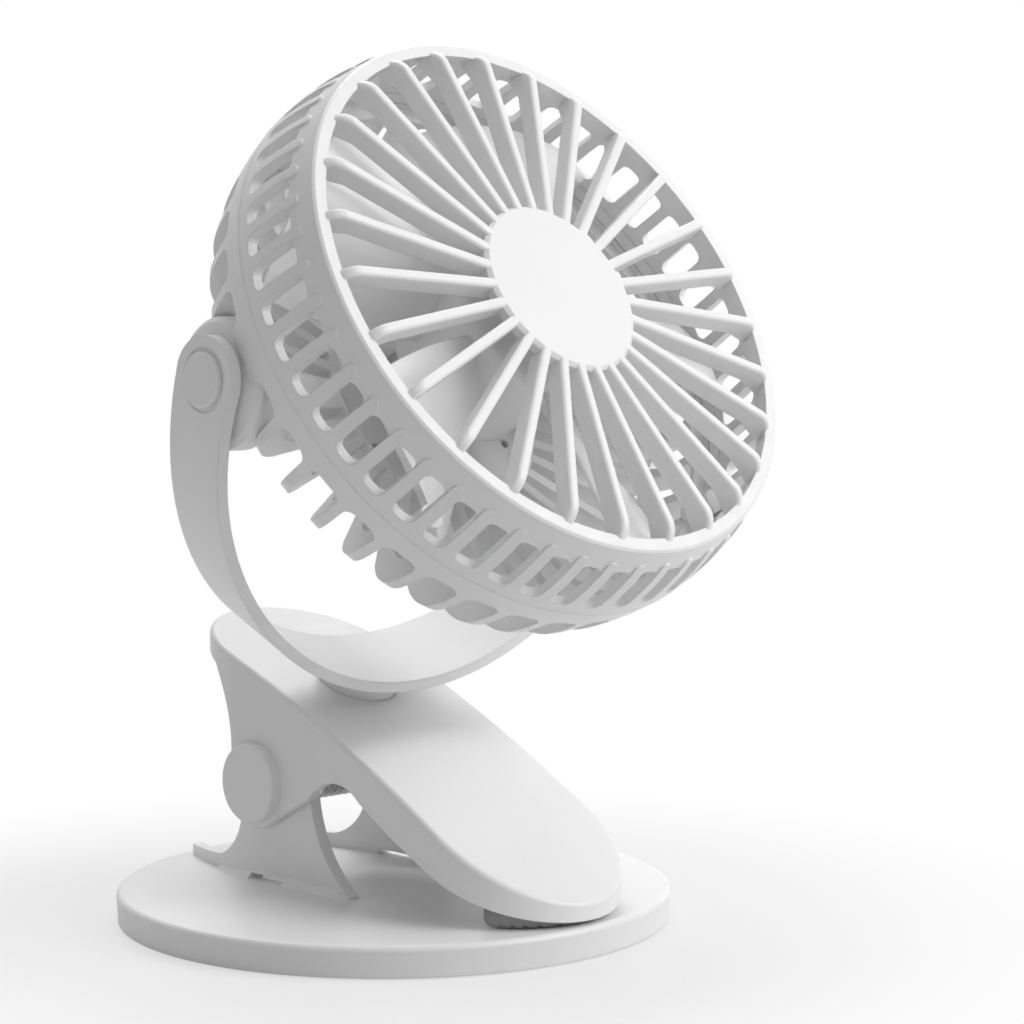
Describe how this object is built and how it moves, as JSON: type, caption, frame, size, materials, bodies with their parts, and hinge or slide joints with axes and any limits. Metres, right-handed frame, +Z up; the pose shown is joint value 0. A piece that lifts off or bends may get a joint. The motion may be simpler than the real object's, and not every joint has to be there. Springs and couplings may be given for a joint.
{
  "type": "clip fan",
  "caption": "Small fan with a round grilled head tilting in a U bracket that swivels on a sprung clip jaw hinged to a weighted round base.",
  "frame": {"origin": "centre of the rubber foot's resting face, on the base's axis", "axes": "+Z up, -Y the way the fan blows and the clip's tip points, X along the hinge pins"},
  "size_m": [0.1326, 0.1388, 0.1853],
  "materials": {
    "white_shell": "satin moulded plastic",
    "grey_rubber": "soft moulded rubber",
    "steel": "bright steel",
    "spring_steel": "oiled spring wire",
    "ballast_iron": "plain plate",
    "wheel_white": "smooth moulded plastic",
    "motor_steel": "plated steel",
    "magnet": "sintered",
    "bronze": "oiled bronze",
    "board": "lacquered board",
    "battery_wrap": "foil wrap",
    "black_plastic": "moulded",
    "button_white": "smooth",
    "lens": "clear"
  },
  "bodies": {
    "base": {"base_shell": "white_shell", "base_cover": "white_shell", "base_screws": "steel", "foot_pad": "grey_rubber", "ballast_plate": "ballast_iron", "clip_pin": "steel", "pin_sleeve": "white_shell", "torsion_spring": "spring_steel"},
    "jaw": {"clip_jaw": "white_shell", "jaw_pad": "grey_rubber"},
    "bracket": {"u_bracket": "white_shell", "swivel_post": "white_shell", "swivel_washer": "steel", "swivel_screw": "steel", "pivot_cap_left": "white_shell", "pivot_cap_right": "white_shell", "friction_washer_left": "grey_rubber", "friction_washer_right": "grey_rubber"},
    "head": {"front_grille": "white_shell", "rear_shell": "white_shell", "grille_screws": "steel", "pivot_bolt_left": "steel", "pivot_bolt_right": "steel", "motor_can": "motor_steel", "motor_end_cap": "black_plastic", "motor_bushing": "bronze", "motor_magnet": "magnet", "motor_screws": "steel", "rear_dome": "white_shell", "dome_screws": "steel", "control_board": "board", "switch_body": "black_plastic", "battery_cell": "battery_wrap", "charging_port": "motor_steel", "indicator_lens": "lens"},
    "fan_wheel": {"impeller": "wheel_white", "motor_rotor": "magnet", "motor_shaft": "steel"},
    "button": {"power_button": "button_white"}
  },
  "joints": [
    {"name": "clip_open", "type": "hinge", "parent": "base", "child": "jaw", "pos_m": [0, 0.0202, 0.0287], "axis": [-1, 0, 0], "range_deg": [0, 30], "stiffness_Nm_per_rad": 0.9, "springref_deg": -34.38, "deforming": ["torsion_spring"]},
    {"name": "bracket_swivel", "type": "hinge", "parent": "jaw", "child": "bracket", "pos_m": [0, 0.0124, 0.04964], "axis": [0, -0.4163, 0.9092], "continuous": true},
    {"name": "head_tilt", "type": "hinge", "parent": "bracket", "child": "head", "pos_m": [0, -0.01807, 0.1162], "axis": [1, 0, 0], "range_deg": [-100, 50]},
    {"name": "wheel_spin", "type": "hinge", "parent": "head", "child": "fan_wheel", "pos_m": [0, -0.01807, 0.1162], "axis": [0, -0.866, 0.5], "continuous": true},
    {"name": "button_press", "type": "slide", "parent": "head", "child": "button", "axis": [0, -0.866, 0.5], "range_m": [0, 0.0005], "stiffness_N_per_m": 800}
  ]
}
